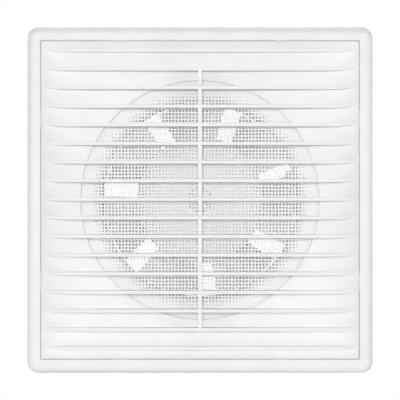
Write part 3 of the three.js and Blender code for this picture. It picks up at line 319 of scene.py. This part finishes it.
def soft(name, colour, gloss=(0.7, 0.85)):
    material, nodes, links, shader, place = new_material(name)
    lighter = tuple(min(channel * SOFT_LIGHTER + SOFT_LIFT, 1) for channel in colour)
    patches = noise(nodes, links, place, SOFT_PATCHES)
    drift(nodes, links, patches, colour, lighter, shader.inputs["Base Color"])
    spread(nodes, links, noise(nodes, links, place, SOFT_GLOSS), *gloss, shader.inputs["Roughness"])
    bump(nodes, links, noise(nodes, links, place, SOFT_GRAIN), SOFT_STRENGTH, SOFT_BUMP, shader)
    return material


zinc = metal("zinc", (0.74, 0.75, 0.77), (0.25, 0.4))
dull_zinc = metal("dull_zinc", (0.6, 0.61, 0.63), (0.5, 0.65))
steel = metal("steel", (0.62, 0.62, 0.64), (0.2, 0.32), "Y", 900, 0.05)
lamination = metal("lamination", (0.3, 0.31, 0.33), (0.45, 0.6), "Y", 320, 0.6)
alloy = metal("alloy", (0.7, 0.71, 0.73), (0.45, 0.6))
bronze = metal("bronze", (0.6, 0.42, 0.22), (0.35, 0.5))
copper = metal("copper", (0.72, 0.33, 0.14), (0.25, 0.4), "Y", 420, 0.7)
brass = metal("brass", (0.8, 0.62, 0.27), (0.25, 0.4))
fibre = soft("fibre", (0.22, 0.11, 0.05))
rubber = soft("rubber", (0.02, 0.02, 0.022))
sleeve = soft("sleeve", (0.7, 0.7, 0.68), (0.5, 0.65))
print("materials:", len(bpy.data.materials))

# %% [markdown]
# The solids come as loose triangles with flat faces. A small node group welds them and then shades every
# edge smooth unless its two faces meet at a clear angle, so round walls look round and real corners stay
# crisp. A weighted-normal modifier keeps the large flat faces flat. Neither changes the solid's shape.

# %% Smooth shading for the solids
SHARP_ANGLE = math.radians(32)
WELD = 0.00001


def smooth_by_angle():
    group = bpy.data.node_groups.new("smooth_by_angle", "GeometryNodeTree")
    group.interface.new_socket("Geometry", in_out="INPUT", socket_type="NodeSocketGeometry")
    group.interface.new_socket("Geometry", in_out="OUTPUT", socket_type="NodeSocketGeometry")
    nodes = group.nodes
    links = group.links
    start = nodes.new("NodeGroupInput")
    weld = nodes.new("GeometryNodeMergeByDistance")
    weld.inputs["Distance"].default_value = WELD
    smooth = nodes.new("GeometryNodeSetShadeSmooth")
    angle = nodes.new("GeometryNodeInputMeshEdgeAngle")
    sharp = nodes.new("FunctionNodeCompare")
    sharp.operation = "GREATER_THAN"
    sharp.inputs[1].default_value = SHARP_ANGLE
    crease = nodes.new("GeometryNodeSetShadeSmooth")
    crease.domain = "EDGE"
    crease.inputs["Shade Smooth"].default_value = False
    end = nodes.new("NodeGroupOutput")
    links.new(start.outputs[0], weld.inputs["Geometry"])
    links.new(weld.outputs["Geometry"], smooth.inputs["Geometry"])
    links.new(smooth.outputs["Geometry"], crease.inputs["Geometry"])
    links.new(angle.outputs["Unsigned Angle"], sharp.inputs[0])
    links.new(sharp.outputs["Result"], crease.inputs["Selection"])
    links.new(crease.outputs["Geometry"], end.inputs[0])
    return group


shading = smooth_by_angle()


def shade(piece):
    piece.modifiers.new("smooth", "NODES").node_group = shading
    weighted = piece.modifiers.new("flat faces", "WEIGHTED_NORMAL")
    weighted.keep_sharp = True


def finish_nodes(material, *names):
    for name in names:
        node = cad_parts[name]
        node.data.materials.clear()
        node.data.materials.append(material)
        shade(node)


def numbered(stem, count):
    return [f"{stem}_{i + 1}" for i in range(count)]


COILS = 4
CLAMP_SCREWS = 2
MOTOR_SCREWS = 2
CARRIER_SCREWS = 3
COVER_SCREWS = 3
TERMINAL_SCREWS = 4
finish_nodes(white_plastic, "housing")
finish_nodes(inner_plastic, "motor_carrier", "motor_cover", "terminal_block", "cable_clamp")
finish_nodes(alloy, "front_bracket", "rear_bracket")
finish_nodes(bronze, "front_bush", "rear_bush")
finish_nodes(lamination, "stator", "rotor_core")
finish_nodes(copper, *numbered("coil", COILS))
finish_nodes(fibre, "front_washer", "rear_washer")
finish_nodes(steel, "shaft")
finish_nodes(rubber, "cable_grommet")
finish_nodes(sleeve, "motor_lead")
finish_nodes(dull_zinc, "impeller_nut")
finish_nodes(zinc, "terminal_block_screw", *numbered("motor_screw", MOTOR_SCREWS))
finish_nodes(zinc, *numbered("clamp_screw", CLAMP_SCREWS))
finish_nodes(zinc, *numbered("carrier_screw", CARRIER_SCREWS), *numbered("cover_screw", COVER_SCREWS))
finish_nodes(brass, *numbered("terminal_screw", TERMINAL_SCREWS))
print("dressed", len(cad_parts), "nodes")

# %% [markdown]
# Every new piece goes through one helper: it turns a bmesh into an object at the origin, gives it its
# material, makes it ride on a body, and hides the solids that it stands for. Smaller helpers turn the faces
# outward, join two meshes, list the edges at some vertices, make a loop through given points, skin a row of
# such loops and round some edges. They keep the points and faces in the same order every run.

# %% Helpers for new pieces


def add_piece(name, mesh, material, body, slot, *nodes):
    data = bpy.data.meshes.new(name)
    mesh.to_mesh(data)
    mesh.free()
    piece = bpy.data.objects.new(name, data)
    scene.collection.objects.link(piece)
    data.materials.append(material)
    shade(piece)
    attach(piece, body)
    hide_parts(*nodes)
    print(name, len(data.polygons), "faces")


def face_out(mesh):
    """Welds a mesh, turns its faces outward and sorts them: some operators leave their order to chance."""
    bmesh.ops.remove_doubles(mesh, verts=mesh.verts, dist=WELD)
    bmesh.ops.recalc_face_normals(mesh, faces=mesh.faces)
    mesh.verts.index_update()
    ordered = sorted(mesh.faces, key=lambda face: sorted(vert.index for vert in face.verts))
    places = {face: place for place, face in enumerate(ordered)}
    mesh.faces.sort(key=places.get)


def add_mesh(mesh, other):
    """Adds a second mesh to the first and frees the second."""
    data = bpy.data.meshes.new("joining")
    other.to_mesh(data)
    other.free()
    mesh.from_mesh(data)
    bpy.data.meshes.remove(data)


def edges_of(verts):
    """The edges at some vertices, each once and in the same order every run, which a set would not give."""
    return list(dict.fromkeys(edge for vert in verts for edge in vert.link_edges))


def ring_loop(mesh, points):
    """A closed loop of edges through the points, made from a circle operator's ring."""
    made = bmesh.ops.create_circle(mesh, cap_ends=False, segments=len(points), radius=1)
    verts = made["verts"]
    for vert, point in zip(verts, points):
        vert.co = point
    return edges_of(verts)


def loft(mesh, sections):
    """Skins equal sections in order by bridging each loop to the next, and closes both ends."""
    loops = [ring_loop(mesh, section) for section in sections]
    for here, there in zip(loops, loops[1:]):
        bmesh.ops.bridge_loops(mesh, edges=here + there)
    bmesh.ops.edgeloop_fill(mesh, edges=loops[0])
    bmesh.ops.edgeloop_fill(mesh, edges=loops[-1])


def round_edges(mesh, edges, width):
    bmesh.ops.bevel(mesh, geom=edges, offset=width, segments=2, profile=0.5, affect="EDGES", material=-1)


# %% [markdown]
# The grille is the fan's face. Its dish starts as a sharp-cornered square a hair inside the border and
# sinks in one smooth sweep to a round hole a little wider than the duct. It is lofted here from rings
# that change from square to circle, all with points at the same angles, and the wall gets its thickness
# from a second set of rings behind the first. The edge widens toward the rear, as a moulded edge does, so the
# groove round the grille has a steep side and shows as one thin grey line.

# %% The dish of the grille
DISH_POINTS = 192
DISH_RINGS = 14
DISH_DEPTH = 9.4 * MM
DISH_EASE = 1.6
DISH_WALL = 1.4 * MM
DISH_RIM = 6 * MM
DISH_BEVEL = 0.2 * MM
DISH_HOLE = 62.5 * MM
HOLE_ROUND = 0.45 * MM
HOLE_STEPS = 3
EDGE_THICK = 1.3 * MM
EDGE_OVERHANG = 0.4 * MM
EDGE_FLARE = 0.4 * MM
rim_half = grille_half - EDGE_OVERHANG
turns = [2 * math.pi * i / DISH_POINTS for i in range(DISH_POINTS)]


def square_reach(half, turn):
    return half / max(abs(math.cos(turn)), abs(math.sin(turn)))


def ring(reach, y):
    return [Vector((reach(turn) * math.cos(turn), y, reach(turn) * math.sin(turn))) for turn in turns]


def square_ring(half, y):
    return ring(lambda turn: square_reach(half, turn), y)


def dish_depth(share):
    return DISH_DEPTH * share * (DISH_EASE - (DISH_EASE - 1) * share)


def dish_ring(share, behind=0.0, hole=DISH_HOLE):
    outer = grille_half - DISH_BEVEL
    y = face_front + dish_depth(share) + behind
    return ring(lambda turn: square_reach(outer, turn) * (1 - share) + hole * share, y)


def hole_lip(step):
    """A ring of the quarter round between the dish's front and the wall of its hole."""
    angle = math.pi / 2 * step / HOLE_STEPS
    radius = DISH_HOLE + HOLE_ROUND * (1 - math.sin(angle))
    y = face_front + dish_depth(1) + HOLE_ROUND * (1 - math.cos(angle))
    return ring(lambda turn: radius, y)


def dish_mesh():
    mesh = bmesh.new()
    inner = rim_half - DISH_WALL
    share = (grille_half - inner) / (grille_half - DISH_HOLE)
    sections = [square_ring(inner, face_front + DISH_RIM), square_ring(rim_half, face_front + DISH_RIM)]
    sections.append(square_ring(rim_half, face_front + EDGE_THICK + DISH_BEVEL))
    sections.append(square_ring(grille_half + EDGE_FLARE, face_front + EDGE_THICK))
    sections.append(square_ring(grille_half, face_front + DISH_BEVEL))
    sections += [dish_ring(i / DISH_RINGS, hole=DISH_HOLE + HOLE_ROUND) for i in range(DISH_RINGS)]
    sections += [hole_lip(step) for step in range(HOLE_STEPS + 1)]
    sections += [dish_ring(i / DISH_RINGS, DISH_WALL) for i in range(DISH_RINGS, 1, -1)]
    sections.append(square_ring(inner, face_front + dish_depth(share) + DISH_WALL))
    loops = [ring_loop(mesh, section) for section in sections]
    for here, there in zip(loops, loops[1:] + loops[:1]):
        bmesh.ops.bridge_loops(mesh, edges=here + there)
    face_out(mesh)
    return mesh


print("dish", DISH_RINGS, "rings of", DISH_POINTS, "points")

# %% [markdown]
# Seventeen level slats run across the dish, with one upright rib behind their fronts in the middle. A slat
# is a thin plate with a flat front edge, crowned a little along its length and ramped down into the dish at
# both ends. Its top is level and its underside slopes down toward the rear: a moulded rib has to slip out of
# its tool, and the slope shows as one thin shaded line under each slat. Over the two ramps the underside
# also rises, so a slat gets thinner toward its ends.
#
# Each plate starts too deep. A boolean then keeps what lies in the space that the dish's middle surface and
# the plane of the slats' rear edges close off, so a plate always ends inside the dish's wall.

# %% The slats
SLATS_EACH_WAY = 8
SLAT_PITCH = 9.68 * MM
SLAT_THICK = 1.7 * MM
SLAT_LIFT = 0.4 * MM
SLAT_DRAFT = 0.04
SLAT_HALF_LENGTH = 81.1 * MM
SLAT_RAMP = 8 * MM
SLAT_TAPER = 0.9 * MM
SLAT_PROUD = 1.5 * MM
SLAT_CROWN = 0.4 * MM
SLAT_STEPS = 16
SLAT_ROUND = 0.12 * MM
SLAT_GAP = 0.6 * MM
SLAT_REAR = screen_low[1] - SLAT_GAP
SLAT_SPARE = 1 * MM
SLAT_END_SINK = DISH_WALL / 4
SPACE_AHEAD = 5 * MM
RIB_THICK = 1.85 * MM
RIB_SETBACK = 0.8 * MM


def slat_outline():
    front = face_front - SLAT_PROUD
    reach = SLAT_HALF_LENGTH - SLAT_RAMP
    rear = SLAT_REAR + SLAT_SPARE
    end_front = face_front + SLAT_END_SINK
    points = [(-reach, rear), (-SLAT_HALF_LENGTH, rear), (-SLAT_HALF_LENGTH, end_front)]
    for i in range(SLAT_STEPS + 1):
        x = -reach + 2 * reach * i / SLAT_STEPS
        points.append((x, front - SLAT_CROWN * (1 - (x / reach) ** 2)))
    points += [(SLAT_HALF_LENGTH, end_front), (SLAT_HALF_LENGTH, rear), (reach, rear)]
    return points


def add_slat(mesh, height):
    """One slat: two ramped ends and a middle, raised to its thickness, then drafted and rounded."""
    front = face_front - SLAT_PROUD
    level = height + SLAT_LIFT - SLAT_THICK / 2
    lower = [mesh.verts.new((x, y, level)) for x, y in slat_outline()]
    ends = [mesh.faces.new(lower[:4]), mesh.faces.new(lower[-4:])]
    middle = mesh.faces.new(lower[:1] + lower[3:-3] + lower[-1:])
    made = bmesh.ops.extrude_face_region(mesh, geom=[middle, *ends])
    upper = [item for item in made["geom"] if isinstance(item, bmesh.types.BMVert)]
    bmesh.ops.translate(mesh, verts=upper, vec=(0, 0, SLAT_THICK))
    long_edges = [edge for edge in edges_of(lower + upper)
                  if abs(edge.verts[0].co.z - edge.verts[1].co.z) < WELD
                  and max(edge.verts[0].co.y, edge.verts[1].co.y) < SLAT_REAR]
    for vert in lower:
        vert.co.z -= SLAT_DRAFT * (vert.co.y - front)
        if abs(vert.co.x) > SLAT_HALF_LENGTH - WELD:
            vert.co.z += SLAT_TAPER
    round_edges(mesh, long_edges, SLAT_ROUND)


def slats_mesh():
    mesh = bmesh.new()
    for i in range(-SLATS_EACH_WAY, SLATS_EACH_WAY + 1):
        one = bmesh.new()
        add_slat(one, i * SLAT_PITCH)
        add_mesh(mesh, one)
    face_out(mesh)
    return mesh


def rib_mesh():
    mesh = bmesh.new()
    low = face_front - SLAT_PROUD + RIB_SETBACK
    high = SLAT_REAR + SLAT_SPARE
    reach = (SLATS_EACH_WAY - 1) * SLAT_PITCH
    size = Matrix.Diagonal((RIB_THICK, high - low, 2 * reach, 1))
    bmesh.ops.create_cube(mesh, size=1, matrix=Matrix.Translation((0, (low + high) / 2, 0)) @ size)
    return mesh


def slat_space_mesh():
    mesh = bmesh.new()
    sections = [square_ring(grille_half, face_front - SPACE_AHEAD)]
    sections += [dish_ring(i / DISH_RINGS, DISH_WALL / 2) for i in range(DISH_RINGS + 1)]
    sections.append(ring(lambda turn: DISH_HOLE - DISH_BEVEL, SLAT_REAR))
    loft(mesh, sections)
    face_out(mesh)
    return mesh


def object_of(mesh, name):
    data = bpy.data.meshes.new(name)
    mesh.to_mesh(data)
    mesh.free()
    made = bpy.data.objects.new(name, data)
    scene.collection.objects.link(made)
    return made


def kept_inside(mesh, space):
    """The part of a closed mesh that lies inside another object."""
    piece = object_of(mesh, "uncut")
    cut = piece.modifiers.new("cut", "BOOLEAN")
    cut.operation = "INTERSECT"
    cut.solver = "EXACT"
    cut.object = space
    depsgraph = bpy.context.evaluated_depsgraph_get()
    result = bmesh.new()
    result.from_mesh(piece.evaluated_get(depsgraph).to_mesh())
    bpy.data.objects.remove(piece)
    return result


slat_space = object_of(slat_space_mesh(), "slat_space")
cut_slats = kept_inside(slats_mesh(), slat_space)
cut_rib = kept_inside(rib_mesh(), slat_space)
bpy.data.objects.remove(slat_space)
print("slats", len(cut_slats.faces), "faces, rib", len(cut_rib.faces))

# %% [markdown]
# Four legs behind the dish hold the grille in the housing's sockets. They are plain bevelled bars.

# %% The legs and the finished grille
LEG_X = 60 * MM
LEG_INSET = 3.75 * MM
LEG_START = 2.2 * MM
LEG_WIDTH = 8 * MM
LEG_THICK = 2 * MM
LEG_BEVEL = 0.3 * MM
LEG_END = grille_high[1]


def add_bar(mesh, low, high, edge):
    """A box between two corners, with its edges bevelled."""
    middle = [(a + b) / 2 for a, b in zip(low, high)]
    size = Matrix.Diagonal((*[b - a for a, b in zip(low, high)], 1))
    made = bmesh.ops.create_cube(mesh, size=1, matrix=Matrix.Translation(middle) @ size)
    round_edges(mesh, edges_of(made["verts"]), edge)


grille = dish_mesh()
add_mesh(grille, cut_slats)
add_mesh(grille, cut_rib)
leg_z = grille_half - LEG_INSET
for x in (-LEG_X, LEG_X):
    for z in (-leg_z, leg_z):
        low = (x - LEG_WIDTH / 2, face_front + LEG_START, z - LEG_THICK / 2)
        high = (x + LEG_WIDTH / 2, LEG_END, z + LEG_THICK / 2)
        add_bar(grille, low, high, LEG_BEVEL)
add_piece("grille_panel", grille, white_plastic, "grille", "white", "front_grille")

# %% [markdown]
# The insect net is a moulded plastic gauze, whose square holes are about one and two thirds as wide as its
# strands. Each strand is a flattened rod as long as the disc is wide at its place. The net is cut a little
# smaller than the ring that it lies on, so the ring's white rim shows round it. Its edge is slightly ragged:
# a seeded random trim shortens both ends of each strand.

# %% The insect net
NET_PITCH = 1.753 * MM
NET_RAISED = 0.27 * MM
STRAND_WIDTH = 0.66 * MM
STRAND_THICK = 0.3 * MM
STRAND_SIDES = 6
NET_RAG = 0.7 * MM
NET_SETBACK = 0.2 * MM
NET_INSET = 2.8 * MM
NET_SEED = 7
net_radius = screen_high[0] - NET_INSET
net_middle = screen_high[1] + NET_SETBACK - STRAND_THICK / 2
net_random = random.Random(NET_SEED)


def add_strand(mesh, offset, upright):
    reach = math.sqrt(net_radius ** 2 - offset ** 2)
    ends = [-reach + net_random.uniform(0, NET_RAG), reach - net_random.uniform(0, NET_RAG)]
    turn = Matrix.Identity(4) if upright else Matrix.Rotation(math.pi / 2, 4, "Y")
    sections = []
    for end in ends:
        section = []
        for i in range(STRAND_SIDES):
            angle = 2 * math.pi * (i + 0.5) / STRAND_SIDES
            across = offset + STRAND_WIDTH / 2 * math.cos(angle) / math.cos(math.pi / STRAND_SIDES)
            through = net_middle + STRAND_THICK / 2 * math.sin(angle)
            section.append(turn @ Vector((across, through, end)))
        sections.append(section)
    loft(mesh, sections)


net = bmesh.new()
count = int(net_radius / NET_PITCH)
for i in range(-count, count):
    add_strand(net, (i + 0.5) * NET_PITCH, True)
    add_strand(net, -i * NET_PITCH - NET_RAISED, False)
face_out(net)
add_piece("insect_net", net, net_plastic, "fan_body", "screen", "insect_screen")

# %% [markdown]
# The impeller is one moulding: a domed cup over the motor and seven cambered blades. The cup is a profile
# spun about the duct axis. A blade is lofted from elliptical sections, each wrapped on its own cylinder, so
# the blade meets the round hub evenly and keeps an even gap to the shroud at its tip.

# %% The hub
HUB_FRONT = -13 * MM
HUB_REAR = 11.5 * MM
HUB_RADIUS = 33.3 * MM
HUB_WALL = 1.6 * MM
HUB_DOME = 4.4 * MM
DOME_STEPS = 14
RECESS_RADIUS = 6 * MM
RECESS_FLARE = 0.6 * MM
RECESS_DEPTH = 2.4 * MM
HUB_BOSS = 5 * MM
HUB_BOSS_REAR = -1.5 * MM
HUB_BORE = 1.9 * MM
SPIN_STEPS = 128


def dome(inset):
    start = RECESS_RADIUS + RECESS_FLARE + inset
    points = []
    for i in range(DOME_STEPS + 1):
        turn = math.pi / 2 * i / DOME_STEPS
        radius = start + (HUB_RADIUS - inset - start) * math.sin(turn)
        points.append((radius, HUB_FRONT + inset + HUB_DOME * (1 - math.cos(turn))))
    return points


def add_spun(mesh, profile):
    verts = [mesh.verts.new((radius, y, 0)) for radius, y in profile]
    edges = [mesh.edges.new(pair) for pair in zip(verts, verts[1:] + verts[:1])]
    bmesh.ops.spin(mesh, geom=verts + edges, cent=(0, 0, 0), axis=(0, 1, 0), angle=2 * math.pi,
                   steps=SPIN_STEPS, use_merge=True)


def hub_profile():
    floor = HUB_FRONT + RECESS_DEPTH
    behind = RECESS_RADIUS + RECESS_FLARE + HUB_WALL
    profile = [(HUB_BORE, HUB_BOSS_REAR), (HUB_BORE, floor), (RECESS_RADIUS, floor)]
    profile += dome(0)
    profile += [(HUB_RADIUS, HUB_REAR), (HUB_RADIUS - HUB_WALL, HUB_REAR)]
    profile += dome(HUB_WALL)[::-1]
    profile += [(behind, floor + HUB_WALL), (HUB_BOSS, floor + HUB_WALL), (HUB_BOSS, HUB_BOSS_REAR)]
    return profile


impeller = bmesh.new()
add_spun(impeller, hub_profile())
face_out(impeller)
print("hub", len(impeller.faces), "faces")

# %% The blades
BLADES = 7
TIP_RADIUS = 50.5 * MM
BLADE_START = math.radians(126.3)
SPAN_ROOT = math.radians(37.9)
SPAN_TIP = math.radians(41.1)
BLADE_FRONT = -8.6 * MM
BLADE_REAR = 10.6 * MM
BLADE_CAMBER = 2.2 * MM
THICK_ROOT = 2 * MM
THICK_TIP = 1.3 * MM
BLADE_SECTIONS = 12
SECTION_POINTS = 36


def mix(first, second, share):
    return first + (second - first) * share


def blade_section(share, turned):
    radius = mix(HUB_RADIUS - HUB_WALL / 2, TIP_RADIUS, share)
    width = mix(SPAN_ROOT, SPAN_TIP, share) * radius
    depth = BLADE_REAR - BLADE_FRONT
    half = mix(THICK_ROOT, THICK_TIP, share) / 2
    chord = math.hypot(width, depth)
    points = []
    for i in range(SECTION_POINTS):
        turn = 2 * math.pi * i / SECTION_POINTS
        along = (1 - math.cos(turn)) / 2
        offset = half * math.sin(turn)
        arc = width * along - depth / chord * offset
        y = BLADE_FRONT + depth * along - BLADE_CAMBER * math.sin(math.pi * along) + width / chord * offset
        angle = BLADE_START + turned + arc / radius
        points.append(Vector((radius * math.cos(angle), y, radius * math.sin(angle))))
    return points


for i in range(BLADES):
    turned = 2 * math.pi * i / BLADES
    one = bmesh.new()
    loft(one, [blade_section(j / BLADE_SECTIONS, turned) for j in range(BLADE_SECTIONS + 1)])
    face_out(one)
    add_mesh(impeller, one)
add_piece("fan_impeller", impeller, fan_plastic, "rotor", "inner_white", "impeller")

# %% Finish
print("finished")
